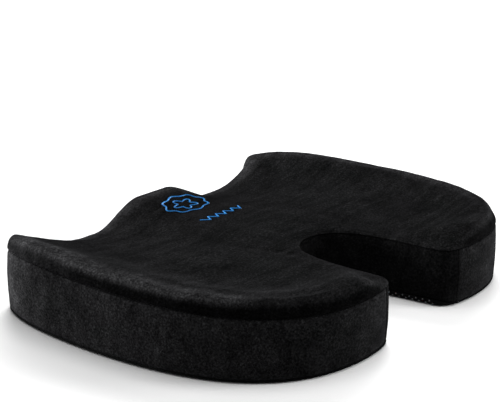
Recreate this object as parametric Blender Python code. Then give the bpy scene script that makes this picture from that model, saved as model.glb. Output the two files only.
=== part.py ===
"""U-cut seat cushion: moulded foam core in a zipped velour cover with a non-slip base.

Frame: metres, +Z up.  X runs across the seat, the thigh edge faces -Y and the tailbone
cut-out opens towards +Y.  The origin is the middle of the base, at floor level.
"""
import math

import bmesh
import bpy
import numpy as np
from mathutils import Vector
from mathutils.geometry import delaunay_2d_cdt

# ---- driving dimensions (metres) -------------------------------------------------------
GAP = 0.0003              # air between pieces that touch
CLOTH = 0.0020            # thickness of the padded velour
BASE_CLOTH = 0.0020       # thickness of the non-slip base cloth
BASE_TURN = 0.0016        # rounded edge of the base cloth
CORE_INSET = 0.0040       # foam core behind the outside of the cover
CORE_DROP = 0.0028        # foam core below the outside of the top panel

FRONT_Y = -0.1557         # plane of the straight thigh edge
# Right half of the plan outline, as control points of a uniform cubic B-spline: the middle
# of the thigh edge, front corner, side, rear lobe, leg tip, cut-out wall, cut-out root.
HALF_OUTLINE = [
    (0.0, FRONT_Y), (0.060, FRONT_Y), (0.120, FRONT_Y), (0.168, FRONT_Y - 0.0005),
    (0.1812, -0.1752), (0.2130, -0.1294), (0.2290, -0.0107), (0.2190, 0.0971),
    (0.1660, 0.1581), (0.0980, 0.1686), (0.0500, 0.1621), (0.0474, 0.1453),
    (0.0472, 0.0983), (0.0380, 0.0503), (0.0, 0.0333),
]
LEG_TIP_U = 9.8           # spline parameter of the leg tip's vertical seam
FRONT_SEAM_U = 2.0        # spline parameter where the straight front wall ends
BAND_BREAK = 0.010        # a wall strip ends this far, in spline parameter, before its seam
STATIONS_PER_SPAN = 5
EDGE_STEPS = 24           # steps of the fine edge polylines in a span
# Rings of surface points, as distance from the outline and use of every n-th station.
RINGS = ((0.0012, 1), (0.0032, 1), (0.0060, 2), (0.0100, 2), (0.0150, 2), (0.0210, 3),
         (0.0280, 3), (0.0360, 3), (0.0460, 3), (0.0560, 4))
GRID = 0.0180             # spacing of the surface points inside the rings
REACH = 0.2400            # no part of the plan is further out than this

SEAM_MID = 0.0579         # height of the top seam half way along the side
SEAM_SLOPE = -0.0259      # the seam falls towards the rear
RIM_RISE = 0.0156         # rim crest above the top seam
RIM_ROUND = 0.0110        # width of the rounded outer edge
RIM_HOLD = 0.0060         # the rim keeps its full height up to here from the edge
RIM_FALL = 0.0650         # distance from the edge at which the rim has died away
SEAT_RISE = 0.0035        # seat surface above the top seam's level
CUT_ROUND = 0.0090        # width of the rounded edge along the cut-out
CUT_FADE = 0.0350         # the rim fades out over this distance towards the cut-out

HUMP_CREST = 0.0700       # thigh edge: crest height at the middle
GROOVE_CREST = 0.0485     # thigh edge: crest height in the thigh grooves
CORNER_CREST = 0.0762     # thigh edge: crest height at the front corners
HUMP_SEAT = 0.0610        # seat height just behind the hump, groove and corner crests
GROOVE_SEAT = 0.0485
CORNER_SEAT = 0.0625
HUMP_FLANK = (0.0200, 0.0850)     # the middle hump falls to the grooves between these
CORNER_FLANK = (0.1000, 0.2190)   # the grooves rise to the corners between these
GROOVE_END_Y = 0.0333     # the grooves have faded out here

# zip in the thigh edge
ZIP_Z = 0.0200            # height of the zip's centre line
ZIP_WINDOW = 0.0055       # half height of the slot in the gusset
ZIP_HALF = 0.1105         # half length of the rows of teeth
GUSSET_HALF = 0.1172      # half length of the gusset strips and tapes
TAPE = 0.0007             # tape thickness
TAPE_EDGE = 0.0005        # tape's inner edge from the centre line
TAPE_TOP = 0.0130         # tape edge from the centre line
TOOTH_PITCH = 0.0032
TOOTH_WIDE = 0.0011
TOOTH_PHASES = (0.25, 0.75)   # place of the upper and lower teeth in each pitch
TOOTH_REACH = 0.0009      # a tooth crosses the centre line by this much
RAIL_IN = 0.0015          # the rail that carries the teeth, from the centre line
RAIL_OUT = 0.0030
CHAIN_FRONT = 0.0004      # front of the teeth behind the gusset's face
STOP_LONG = 0.0035
STOP_TALL = 0.0048        # half height of the bottom stop
STOP_PARTING = 0.0008     # top stops from the centre line
STOP_PROUD = 0.0002       # stops stand ahead of the teeth

# slider and pull tab
SLIDER_HALF = 0.0050      # half length along the zip
PLATE_HALF = 0.0049       # half height of the front plate
PLATE_FRONT = 0.0016      # plate's front face ahead of the gusset's face
PLATE_BACK = 0.0003
LIP_IN = 0.0034
LIP_DEEP = 0.0018
LIP_TAPER = 0.0003
LOOP_HALF = 0.0035        # half length of the pull loop
LOOP_BAR = 0.0010         # thickness of the loop's bar and legs
LOOP_WIDE = 0.0018
LOOP_CLEAR = 0.0018       # height inside the loop
LOOP_ROOT = 0.0004        # the legs run this deep into the plate
LOOP_CHAMFER = 0.0008
LOOP_SHOULDER = 0.0002    # the chamfer starts this far outside the loop's inside
PULL_THICK = 0.0012
PULL_LONG = 0.0270
PULL_WIDE = 0.0080
PULL_SLOT = 0.0050        # length of the slot that takes the loop
PULL_SLOT_WIDE = 0.0030
PULL_CHAMFER = 0.0010     # corners of the cross bar end
PULL_SHOULDER = 0.0006    # the tab has its full width from here
PULL_TAPER = 0.0100       # tapered stretch at the tip
PULL_TIP = 0.0030         # depth of the rounded tip
PULL_TIP_HALF = 0.0026    # half width where the round tip starts
PULL_TIP_STEPS = 8
CUTTER_MARGIN = 0.0010

# sewn-in label and stitched motif
LABEL_Y = -0.0817
LABEL_WIDE = 0.0220
LABEL_TALL = 0.0200
LABEL_THICK = 0.0006
LABEL_FOOT = 0.0045       # lower edge of the label
LABEL_CLEAR = 0.0010      # label ahead of the wall
LABEL_SPREAD = 4          # edge points each way that give the wall's direction
MOTIF_CLEAR = 0.0011      # stitching above the panel
MOTIF_THICK = 0.0008
MOTIF_Y = -0.1057
RING_HALF = (0.0250, 0.0165)      # half axes of the lobed ring
RING_LOBES = 8
RING_SWING = 0.07                 # depth of the lobes, as a share of the half axes
RING_WIDTH = 0.0020
ROSETTE_HALF = (0.0120, 0.0080)
ROSETTE_LOBES = 5
ROSETTE_SWING = 0.30
ROW_Y = -0.0597
ROW_HALF = 0.0300                 # half length of the zigzag row
ROW_PEAKS = 10
ROW_SWING = 0.0040                # half height of the zigzag
THREAD_WIDTH = 0.0018


# ---- plan outline ----------------------------------------------------------------------
def closed_polygon():
    """Control points of the whole outline, right half then its mirror image."""
    right = [Vector(point) for point in HALF_OUTLINE]
    left = [Vector((-point.x, point.y)) for point in reversed(right[1:-1])]
    return right + left


CONTROL = closed_polygon()
SPANS = len(CONTROL)


def outline_point(u):
    """Point of the closed cubic B-spline at parameter u."""
    i = math.floor(u)
    t = u - i
    weights = ((1 - t) ** 3 / 6,
               (3 * t ** 3 - 6 * t ** 2 + 4) / 6,
               (-3 * t ** 3 + 3 * t ** 2 + 3 * t + 1) / 6,
               t ** 3 / 6)
    point = Vector((0.0, 0.0))
    for k, weight in enumerate(weights):
        point += CONTROL[(i - 1 + k) % SPANS] * weight
    return point


def inset_point(u, inset):
    """Outline point moved inwards at right angles to the edge."""
    step = 0.001
    along = (outline_point(u + step) - outline_point(u - step)).normalized()
    inwards = Vector((-along.y, along.x))
    return outline_point(u) + inwards * inset


def stations(first, last):
    """Spline parameters from first to last, about STATIONS_PER_SPAN to a span."""
    count = max(2, round((last - first) * STATIONS_PER_SPAN))
    return [first + (last - first) * k / count for k in range(count + 1)]


def loop_points(inset):
    """Closed loop of outline points at an inset."""
    return [inset_point(u, inset) for u in stations(0, SPANS)[:-1]]


# ---- heights ---------------------------------------------------------------------------
def smooth(low, high, value):
    """0 below low, 1 above high, smooth between."""
    t = min(max((value - low) / (high - low), 0.0), 1.0)
    return t * t * (3 - 2 * t)


def across(x, hump, groove, corner):
    """Profile across the thigh edge: middle hump, two grooves, two corners."""
    from_middle = abs(x)
    value = hump + (groove - hump) * smooth(*HUMP_FLANK, from_middle)
    return value + (corner - groove) * smooth(*CORNER_FLANK, from_middle)


def frontness(y):
    """1 at the thigh edge, 0 where the grooves have faded out."""
    return 1 - smooth(FRONT_Y, GROOVE_END_Y, y)


def seam_height(x, y):
    """Height of the seam between the side bands and the top panel."""
    level = SEAM_MID + SEAM_SLOPE * y
    front = across(x, HUMP_CREST, GROOVE_CREST, CORNER_CREST) - RIM_RISE
    return level + (front - level) * frontness(y) ** 2


def seat_height(x, y):
    """Seat surface without its raised rim."""
    level = SEAM_MID + SEAM_SLOPE * y + SEAT_RISE
    front = across(x, HUMP_SEAT, GROOVE_SEAT, CORNER_SEAT)
    return level + (front - level) * frontness(y)


def fine_edge(first, last):
    """Fine polyline of the outline between two parameters, for distances."""
    steps = round((last - first) * EDGE_STEPS)
    return np.array([tuple(outline_point(first + (last - first) * k / steps))
                     for k in range(steps + 1)])


OUTER_EDGE = fine_edge(-LEG_TIP_U, LEG_TIP_U)
CUT_EDGE = fine_edge(LEG_TIP_U, SPANS - LEG_TIP_U)


def distance(points, x, y):
    """Distance from a plan point to a polyline."""
    here = np.array((x, y))
    start = points[:-1]
    run = points[1:] - start
    share = ((here - start) * run).sum(axis=1) / (run ** 2).sum(axis=1)
    near = start + run * np.clip(share, 0, 1)[:, None]
    return float(np.sqrt(((near - here) ** 2).sum(axis=1)).min())


def quarter_round(inside, width):
    """Rounded edge profile: 0 at the edge, 1 from width inwards."""
    if inside >= width:
        return 1.0
    return math.sqrt(max(0.0, 1 - (1 - max(inside, 0.0) / width) ** 2))


def top_height(x, y, inset=0.0, drop=0.0):
    """Height of the cover's outside, or of a surface inset from its edge and dropped below."""
    outer = distance(OUTER_EDGE, x, y)
    cut = distance(CUT_EDGE, x, y)
    seam = seam_height(x, y)
    seat = seat_height(x, y)
    crest = seam + RIM_RISE
    held = 1 - smooth(RIM_HOLD, RIM_FALL, outer)
    crown = seat + max(crest - seat, 0.0) * held * smooth(0.0, CUT_FADE, cut) - seam
    rounding = min(quarter_round(outer - inset, RIM_ROUND - inset),
                   quarter_round(cut - inset, CUT_ROUND - inset))
    return seam + (crown - drop) * rounding


# ---- mesh helpers ----------------------------------------------------------------------
def material(name, colour, roughness, metallic=0.0):
    """Plain Principled material."""
    shader = bpy.data.materials.new(name)
    shader.use_nodes = True
    principled = shader.node_tree.nodes["Principled BSDF"]
    principled.inputs["Base Color"].default_value = (*colour, 1.0)
    principled.inputs["Roughness"].default_value = roughness
    principled.inputs["Metallic"].default_value = metallic
    return shader


def add_object(name, vertices, faces, finish, origin=(0.0, 0.0, 0.0)):
    """Mesh object from world-space vertices, with its origin where asked."""
    pivot = Vector(origin)
    mesh = bpy.data.meshes.new(name)
    mesh.from_pydata([Vector(v) - pivot for v in vertices], [], faces)
    bm = bmesh.new()
    bm.from_mesh(mesh)
    bmesh.ops.recalc_face_normals(bm, faces=bm.faces)
    bm.to_mesh(mesh)
    bm.free()
    mesh.materials.append(finish)
    mesh.shade_smooth()
    mesh.set_sharp_from_angle(angle=math.radians(35))
    part = bpy.data.objects.new(name, mesh)
    part.location = pivot
    bpy.context.collection.objects.link(part)
    return part


def bridge(first, second, closed=True):
    """Quads between two rows of vertex indices of equal length."""
    count = len(first) if closed else len(first) - 1
    faces = []
    for k in range(count):
        after = (k + 1) % len(first)
        faces.append((first[k], first[after], second[after], second[k]))
    return faces


def box_solid(name, low, high, finish):
    """Rectangular block between two corners."""
    xs, ys, zs = zip(low, high)
    vertices = [(xs[i], ys[j], zs[k]) for k in (0, 1) for j in (0, 1) for i in (0, 1)]
    faces = [(0, 2, 3, 1), (4, 5, 7, 6), (0, 1, 5, 4), (2, 6, 7, 3), (0, 4, 6, 2), (1, 3, 7, 5)]
    return add_object(name, vertices, faces, finish)


def swept_solid(name, sections, finish, closed=False):
    """Solid through a run of matching cross-sections."""
    sides = len(sections[0])
    vertices = [corner for section in sections for corner in section]
    faces = []
    runs = len(sections) if closed else len(sections) - 1
    for k in range(runs):
        here = [k * sides + j for j in range(sides)]
        there = [((k + 1) % len(sections)) * sides + j for j in range(sides)]
        faces += bridge(here, there)
    if not closed:
        faces.append(tuple(range(sides)))
        faces.append(tuple((len(sections) - 1) * sides + j for j in reversed(range(sides))))
    return add_object(name, vertices, faces, finish)


def edge_distance(x, y):
    """Distance from a plan point to the nearest part of the outline."""
    return min(distance(OUTER_EDGE, x, y), distance(CUT_EDGE, x, y))


def plan_triangles(boundary, inset):
    """Triangulated plan inside a loop: rings that follow the edge, and a grid inside them."""
    points = list(boundary)
    for ring, stride in RINGS:
        if ring < inset + 0.0010:
            continue
        for point in loop_points(ring)[::stride]:
            if edge_distance(point.x, point.y) > ring - 0.0002:
                points.append(point)
    reach = RINGS[-1][0] + GRID * 0.45
    columns = int(REACH / GRID)
    for i in range(-columns, columns + 1):
        for j in range(-columns, columns + 1):
            x = i * GRID
            y = j * GRID
            if in_loop(x, y, boundary) and edge_distance(x, y) > reach:
                points.append(Vector((x, y)))
    edges = [(k, (k + 1) % len(boundary)) for k in range(len(boundary))]
    vertices, _, faces, _, _, _ = delaunay_2d_cdt(points, edges, [], 1, 1e-7)
    return vertices, [tuple(face) for face in faces]


def in_loop(x, y, loop):
    """True where a plan point is inside a closed loop."""
    inside = False
    for k, a in enumerate(loop):
        b = loop[k - 1]
        if (a.y > y) != (b.y > y) and x < (b.x - a.x) * (y - a.y) / (b.y - a.y) + a.x:
            inside = not inside
    return inside


# ---- soft parts ------------------------------------------------------------------------
def make_foam_core():
    """Moulded foam: contoured top, straight walls, flat bottom."""
    loop = loop_points(CORE_INSET)
    plan, faces = plan_triangles(loop, CORE_INSET)
    vertices = [(p.x, p.y, top_height(p.x, p.y, CORE_INSET, CORE_DROP)) for p in plan]
    count = len(loop)
    base = len(vertices)
    bottom = BASE_CLOTH + GAP
    vertices += [(p.x, p.y, bottom) for p in loop]
    wall = bridge(list(range(base, base + count)), list(range(count)))
    floor = tuple(range(base, base + count))
    finish = material("memory_foam", (0.83, 0.79, 0.66), 0.9)
    return add_object("foam_core", vertices, faces + wall + [floor], finish)


def make_top_panel(finish):
    """Velour top: a shell that rounds over the rim down to the top seam."""
    outer_loop = loop_points(0.0)
    inner_loop = loop_points(CLOTH)
    outer, outer_faces = plan_triangles(outer_loop, 0.0)
    inner, inner_faces = plan_triangles(inner_loop, CLOTH)
    vertices = [(p.x, p.y, top_height(p.x, p.y)) for p in outer]
    start = len(vertices)
    vertices += [(p.x, p.y, top_height(p.x, p.y, CLOTH, CLOTH)) for p in inner]
    faces = outer_faces + [tuple(start + i for i in reversed(face)) for face in inner_faces]
    faces += bridge(list(range(len(outer_loop))), list(range(start, start + len(inner_loop))))
    return add_object("top_panel", vertices, faces, finish)


def make_bottom_panel():
    """Non-slip base cloth with a small turned edge."""
    rows = ((BASE_TURN, 0.0), (BASE_TURN * 0.3, BASE_TURN * 0.3), (0.0, BASE_TURN),
            (0.0, BASE_CLOTH))
    vertices = []
    loops = []
    for inset, height in rows:
        loop = loop_points(inset)
        loops.append(list(range(len(vertices), len(vertices) + len(loop))))
        vertices += [(p.x, p.y, height) for p in loop]
    faces = [tuple(loops[0]), tuple(reversed(loops[-1]))]
    for lower, upper in zip(loops, loops[1:]):
        faces += bridge(lower, upper)
    finish = material("grip_cloth", (0.022, 0.022, 0.024), 0.8)
    return add_object("bottom_panel", vertices, faces, finish)


def make_band(name, first, last, finish):
    """Wall strip of the cover between two places on the outline."""
    bottom = BASE_CLOTH + GAP
    sections = []
    for u in stations(first, last):
        out = inset_point(u, 0.0)
        back = inset_point(u, CLOTH)
        top = seam_height(out.x, out.y) - GAP
        back_top = seam_height(back.x, back.y) - GAP
        sections.append([(out.x, out.y, bottom), (out.x, out.y, top),
                         (back.x, back.y, back_top), (back.x, back.y, bottom)])
    return swept_solid(name, sections, finish)


def make_side_bands(finish):
    """Two outer wall strips and the strip round the cut-out."""
    make_band("side_band_right", FRONT_SEAM_U + BAND_BREAK, LEG_TIP_U - BAND_BREAK, finish)
    make_band("side_band_left", SPANS - LEG_TIP_U + BAND_BREAK, SPANS - FRONT_SEAM_U - BAND_BREAK,
              finish)
    make_band("cutout_band", LEG_TIP_U + BAND_BREAK, SPANS - LEG_TIP_U - BAND_BREAK, finish)


def make_zip_gusset(finish):
    """The two strips of the front wall above and below the zip."""
    back = FRONT_Y + CLOTH
    low = ZIP_Z + ZIP_WINDOW
    sections = []
    for u in stations(-FRONT_SEAM_U, FRONT_SEAM_U):
        x = min(max(outline_point(u).x, -GUSSET_HALF), GUSSET_HALF)
        top = seam_height(x, FRONT_Y) - GAP
        back_top = seam_height(x, back) - GAP
        sections.append([(x, FRONT_Y, low), (x, FRONT_Y, top), (x, back, back_top), (x, back, low)])
    swept_solid("zip_gusset_upper", sections, finish)
    box_solid("zip_gusset_lower", (-GUSSET_HALF, FRONT_Y, BASE_CLOTH + GAP),
              (GUSSET_HALF, back, ZIP_Z - ZIP_WINDOW), finish)


def make_care_label():
    """Blank woven label that stands out of the bottom seam on the left side."""
    wall = min(range(len(OUTER_EDGE)), key=lambda k: abs(OUTER_EDGE[k][1] - LABEL_Y)
               + (1.0 if OUTER_EDGE[k][0] > 0 else 0.0))
    x = float(OUTER_EDGE[wall][0])
    ahead = OUTER_EDGE[wall + LABEL_SPREAD] - OUTER_EDGE[wall - LABEL_SPREAD]
    along = Vector((ahead[0], ahead[1])).normalized()
    outwards = Vector((along.y, -along.x))
    middle = Vector((x, LABEL_Y))
    half = along * LABEL_WIDE / 2
    near = outwards * LABEL_CLEAR
    far = outwards * (LABEL_CLEAR + LABEL_THICK)
    corners = [middle - half + near, middle + half + near, middle + half + far, middle - half + far]
    sections = []
    for height in (LABEL_FOOT, LABEL_FOOT + LABEL_TALL):
        sections.append([(c.x, c.y, height) for c in corners])
    finish = material("label_satin", (0.75, 0.75, 0.73), 0.5)
    return swept_solid("care_label", sections, finish)


# ---- stitched motif --------------------------------------------------------------------
def stitched_line(name, path, width, finish, closed=False):
    """Raised line of stitching that follows the panel under it."""
    sections = []
    count = len(path)
    for k, point in enumerate(path):
        before = path[(k - 1) % count] if closed or k else point
        after = path[(k + 1) % count] if closed or k < count - 1 else point
        along = (after - before).normalized()
        side = Vector((-along.y, along.x)) * width / 2
        left = point + side
        right = point - side
        heights = [top_height(p.x, p.y) + MOTIF_CLEAR for p in (left, right)]
        sections.append([(left.x, left.y, heights[0]), (right.x, right.y, heights[1]),
                         (right.x, right.y, heights[1] + MOTIF_THICK),
                         (left.x, left.y, heights[0] + MOTIF_THICK)])
    return swept_solid(name, sections, finish, closed)


def lobed_loop(half, lobes, swing):
    """Plan points of an ellipse with a wavy edge, round the motif's middle."""
    steps = 8 * lobes
    points = []
    for k in range(steps):
        turn = 2 * math.pi * k / steps
        reach = 1 + swing * math.cos(lobes * turn)
        points.append(Vector((half[0] * math.cos(turn) * reach,
                              MOTIF_Y + half[1] * math.sin(turn) * reach)))
    return points


def make_motif():
    """Generic ornament: a lobed ring round a small rosette, over a zigzag row."""
    finish = material("blue_thread", (0.02, 0.33, 0.60), 0.45)
    ring = lobed_loop(RING_HALF, RING_LOBES, RING_SWING)
    rosette = lobed_loop(ROSETTE_HALF, ROSETTE_LOBES, ROSETTE_SWING)
    row = [Vector((ROW_HALF * (2 * k / ROW_PEAKS - 1), ROW_Y + ROW_SWING * (1 if k % 2 else -1)))
           for k in range(ROW_PEAKS + 1)]
    stitched_line("embroidered_ring", ring, RING_WIDTH, finish, closed=True)
    stitched_line("embroidered_rosette", rosette, THREAD_WIDTH, finish, closed=True)
    stitched_line("embroidered_row", row, THREAD_WIDTH, finish)


# ---- zip -------------------------------------------------------------------------------
def mirror_z(height, side):
    """Height above (side 1) or below (side -1) the zip's centre line."""
    return ZIP_Z + side * height


def make_zip_tapes():
    """Woven tapes behind the gusset strips."""
    finish = material("zip_tape", (0.02, 0.02, 0.022), 0.85)
    front = FRONT_Y + CLOTH + GAP
    for name, side in (("zip_tape_upper", 1), ("zip_tape_lower", -1)):
        levels = sorted((mirror_z(TAPE_EDGE, side), mirror_z(TAPE_TOP, side)))
        box_solid(name, (-GUSSET_HALF, front, levels[0]),
                  (GUSSET_HALF, front + TAPE, levels[1]), finish)


def make_zip_teeth():
    """Two combs whose teeth mesh along the centre line."""
    finish = material("zip_teeth", (0.05, 0.05, 0.055), 0.35)
    pairs = int(2 * ZIP_HALF / TOOTH_PITCH)
    for name, side, phase in (("zip_teeth_upper", 1, TOOTH_PHASES[0]),
                              ("zip_teeth_lower", -1, TOOTH_PHASES[1])):
        outline = [(-ZIP_HALF, mirror_z(RAIL_OUT, side)), (-ZIP_HALF, mirror_z(RAIL_IN, side))]
        for k in range(pairs):
            middle = -ZIP_HALF + (k + phase) * TOOTH_PITCH
            left = middle - TOOTH_WIDE / 2
            right = middle + TOOTH_WIDE / 2
            outline += [(left, mirror_z(RAIL_IN, side)), (left, mirror_z(-TOOTH_REACH, side)),
                        (right, mirror_z(-TOOTH_REACH, side)), (right, mirror_z(RAIL_IN, side))]
        outline += [(ZIP_HALF, mirror_z(RAIL_IN, side)), (ZIP_HALF, mirror_z(RAIL_OUT, side))]
        sections = [[(x, y, z) for x, z in outline]
                    for y in (FRONT_Y + CHAIN_FRONT, FRONT_Y + CLOTH)]
        swept_solid(name, sections, finish)


def make_zip_stops():
    """Two stops at the closed end and one across both rows at the open end."""
    finish = material("zip_stop", (0.35, 0.35, 0.36), 0.3, 1.0)
    front = FRONT_Y + CHAIN_FRONT - STOP_PROUD
    back = FRONT_Y + CLOTH
    start = ZIP_HALF + GAP
    for name, side in (("zip_stop_top_upper", 1), ("zip_stop_top_lower", -1)):
        levels = sorted((mirror_z(STOP_PARTING, side), mirror_z(STOP_TALL, side)))
        box_solid(name, (start, front, levels[0]), (start + STOP_LONG, back, levels[1]), finish)
    box_solid("zip_stop_bottom", (-start - STOP_LONG, front, ZIP_Z - STOP_TALL),
              (-start, back, ZIP_Z + STOP_TALL), finish)


def hidden_tool(name, vertices, faces):
    """Guide solid that a Boolean reads and the build leaves out."""
    tool = add_object(name, vertices, faces, material(name, (1, 0, 0), 0.5))
    tool.hide_render = True
    tool.display_type = "WIRE"
    return tool


def prism(outline, levels, axis):
    """Vertices and faces of an outline pushed along Y or Z between two levels."""
    vertices = []
    for level in levels:
        for a, b in outline:
            vertices.append((a, level, b) if axis == "Y" else (a, b, level))
    count = len(outline)
    lower = list(range(count))
    upper = list(range(count, 2 * count))
    return vertices, bridge(lower, upper) + [tuple(reversed(lower)), tuple(upper)]


def boolean(part, tool, operation):
    """Exact Boolean, kept as a modifier."""
    cut = part.modifiers.new(operation.lower(), "BOOLEAN")
    cut.operation = operation
    cut.object = tool
    cut.solver = "EXACT"


def make_slider():
    """Slider body: front plate with two lips, and the loop that holds the pull."""
    finish = material("slider_metal", (0.30, 0.30, 0.31), 0.3, 1.0)
    centre = slider_rest_x()
    plate = FRONT_Y - PLATE_FRONT
    section = [(plate, -PLATE_HALF), (plate, PLATE_HALF), (FRONT_Y + LIP_DEEP, PLATE_HALF - LIP_TAPER),
               (FRONT_Y + LIP_DEEP, LIP_IN), (FRONT_Y - PLATE_BACK, LIP_IN),
               (FRONT_Y - PLATE_BACK, -LIP_IN), (FRONT_Y + LIP_DEEP, -LIP_IN),
               (FRONT_Y + LIP_DEEP, -PLATE_HALF + LIP_TAPER)]
    vertices = []
    for x in (centre - SLIDER_HALF, centre + SLIDER_HALF):
        vertices += [(x, y, ZIP_Z + z) for y, z in section]
    count = len(section)
    ends = [tuple(range(count)), tuple(reversed(range(count, 2 * count)))]
    faces = bridge(list(range(count)), list(range(count, 2 * count))) + ends
    body = add_object("zip_slider", vertices, faces, finish, (centre, FRONT_Y, ZIP_Z))
    root = plate + LOOP_ROOT
    bar_in = plate - LOOP_CLEAR
    bar_out = bar_in - LOOP_BAR
    shoulder = bar_in - LOOP_SHOULDER
    half = [(LOOP_HALF - LOOP_CHAMFER, bar_out), (LOOP_HALF, shoulder), (LOOP_HALF, root),
            (LOOP_HALF - LOOP_BAR, root), (LOOP_HALF - LOOP_BAR, bar_in)]
    arch = [(centre + x, y) for x, y in half] + [(centre - x, y) for x, y in reversed(half)]
    levels = (ZIP_Z - LOOP_WIDE / 2, ZIP_Z + LOOP_WIDE / 2)
    loop = hidden_tool("loop_guide", *prism(arch, levels, "Z"))
    boolean(body, loop, "UNION")


def slider_rest_x():
    """Slider's middle when the zip is closed."""
    return ZIP_HALF - SLIDER_HALF


def make_pull():
    """Pull tab lying flat along the zip, its cross bar under the slider's loop."""
    finish = material("pull_metal", (0.30, 0.30, 0.31), 0.3, 1.0)
    centre = slider_rest_x()
    axis_y = FRONT_Y - PLATE_FRONT - GAP - PULL_THICK / 2
    half = PULL_WIDE / 2
    end = -PULL_LONG
    outline = [(PULL_THICK / 2, -half + PULL_CHAMFER), (PULL_THICK / 2, half - PULL_CHAMFER),
               (-PULL_SHOULDER, half), (end + PULL_TAPER, half)]
    for k in range(PULL_TIP_STEPS + 1):
        turn = math.pi / 2 * (1 - 2 * k / PULL_TIP_STEPS)
        outline.append((end + PULL_TIP * (1 - math.cos(turn)), PULL_TIP_HALF * math.sin(turn)))
    outline += [(end + PULL_TAPER, -half), (-PULL_SHOULDER, -half)]
    placed = [(centre + x, ZIP_Z + z) for x, z in outline]
    levels = (axis_y - PULL_THICK / 2, axis_y + PULL_THICK / 2)
    vertices, faces = prism(placed, levels, "Y")
    tab = add_object("zip_pull", vertices, faces, finish, (centre, axis_y, ZIP_Z))
    slot = [(centre - PULL_THICK / 2 - PULL_SLOT, ZIP_Z - PULL_SLOT_WIDE / 2),
            (centre - PULL_THICK / 2 - PULL_SLOT, ZIP_Z + PULL_SLOT_WIDE / 2),
            (centre - PULL_THICK / 2, ZIP_Z + PULL_SLOT_WIDE / 2),
            (centre - PULL_THICK / 2, ZIP_Z - PULL_SLOT_WIDE / 2)]
    depths = (levels[0] - CUTTER_MARGIN, levels[1] + CUTTER_MARGIN)
    cutter = hidden_tool("slot_guide", *prism(slot, depths, "Y"))
    boolean(tab, cutter, "DIFFERENCE")


# ---- build -----------------------------------------------------------------------------
def clear_scene():
    """Start from an empty scene."""
    for thing in list(bpy.data.objects):
        bpy.data.objects.remove(thing, do_unlink=True)


def main():
    clear_scene()
    velour = material("velour", (0.030, 0.030, 0.033), 0.95)
    make_foam_core()
    make_top_panel(velour)
    make_side_bands(velour)
    make_zip_gusset(velour)
    make_bottom_panel()
    make_care_label()
    make_motif()
    make_zip_tapes()
    make_zip_teeth()
    make_zip_stops()
    make_slider()
    make_pull()


main()
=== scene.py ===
import math

import bpy
import numpy as np
from mathutils import Matrix, Vector, noise
from mathutils.bvhtree import BVHTree
from mathutils.geometry import delaunay_2d_cdt
from mathutils.kdtree import KDTree


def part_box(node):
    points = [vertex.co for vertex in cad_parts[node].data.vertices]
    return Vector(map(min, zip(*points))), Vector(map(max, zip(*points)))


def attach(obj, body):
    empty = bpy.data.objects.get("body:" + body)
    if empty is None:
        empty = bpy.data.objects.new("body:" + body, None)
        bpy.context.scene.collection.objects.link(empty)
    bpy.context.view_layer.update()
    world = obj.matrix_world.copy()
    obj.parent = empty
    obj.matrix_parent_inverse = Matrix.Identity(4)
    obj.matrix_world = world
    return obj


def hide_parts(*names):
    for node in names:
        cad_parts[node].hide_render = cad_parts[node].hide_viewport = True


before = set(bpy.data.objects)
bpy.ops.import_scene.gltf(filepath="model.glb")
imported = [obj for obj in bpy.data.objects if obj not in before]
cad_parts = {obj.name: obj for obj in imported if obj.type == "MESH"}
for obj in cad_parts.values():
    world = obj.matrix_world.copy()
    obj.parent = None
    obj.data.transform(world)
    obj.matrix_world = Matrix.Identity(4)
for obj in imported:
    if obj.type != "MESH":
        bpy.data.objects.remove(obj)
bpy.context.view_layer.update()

# ---- the frame's sizes -----------------------------------------------------------------
BODY = "cushion"
FRONT_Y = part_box("zip_gusset_lower")[0][1]
GUSSET_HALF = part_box("zip_gusset_lower")[1][0]
WINDOW_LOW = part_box("zip_gusset_lower")[1][2]
WINDOW_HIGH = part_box("zip_gusset_upper")[0][2]
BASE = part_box("bottom_panel")[0][2]
LABEL_LOW, LABEL_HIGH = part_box("care_label")
RING_LOW, RING_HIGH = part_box("embroidered_ring")
ROSETTE_LOW, ROSETTE_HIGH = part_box("embroidered_rosette")
ROW_LOW, ROW_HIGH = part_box("embroidered_row")

CLOTH = 0.0018            # cloth thickness
BASE_LIFT = 0.0007        # the base cloth rests on its grip dots
BASE_CLOTH = 0.0011
FOOT = 0.0022             # lower edge of the walls
CUT_FOOT = 0.0062         # lower edge of the cut-out's wall, above the turned-up base cloth
CORE_INSET = 0.0040       # foam block behind the outside of the cover
CORE_DROP = 0.0028        # foam block below the outside of the top panel
CORE_GAP = 0.0004         # foam block above the base cloth

# Right half of the plan outline: control points of a uniform cubic B-spline, as in the CAD.
HALF_OUTLINE = [
    (0.0, FRONT_Y), (0.060, FRONT_Y), (0.120, FRONT_Y), (0.168, FRONT_Y - 0.0005),
    (0.1812, -0.1752), (0.2130, -0.1294), (0.2290, -0.0107), (0.2190, 0.0971),
    (0.1660, 0.1581), (0.0980, 0.1686), (0.0500, 0.1621), (0.0474, 0.1453),
    (0.0472, 0.0983), (0.0380, 0.0503), (0.0, 0.0333),
]
LEG_TIP_U = 9.8
FRONT_SEAM_U = 2.0

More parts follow.
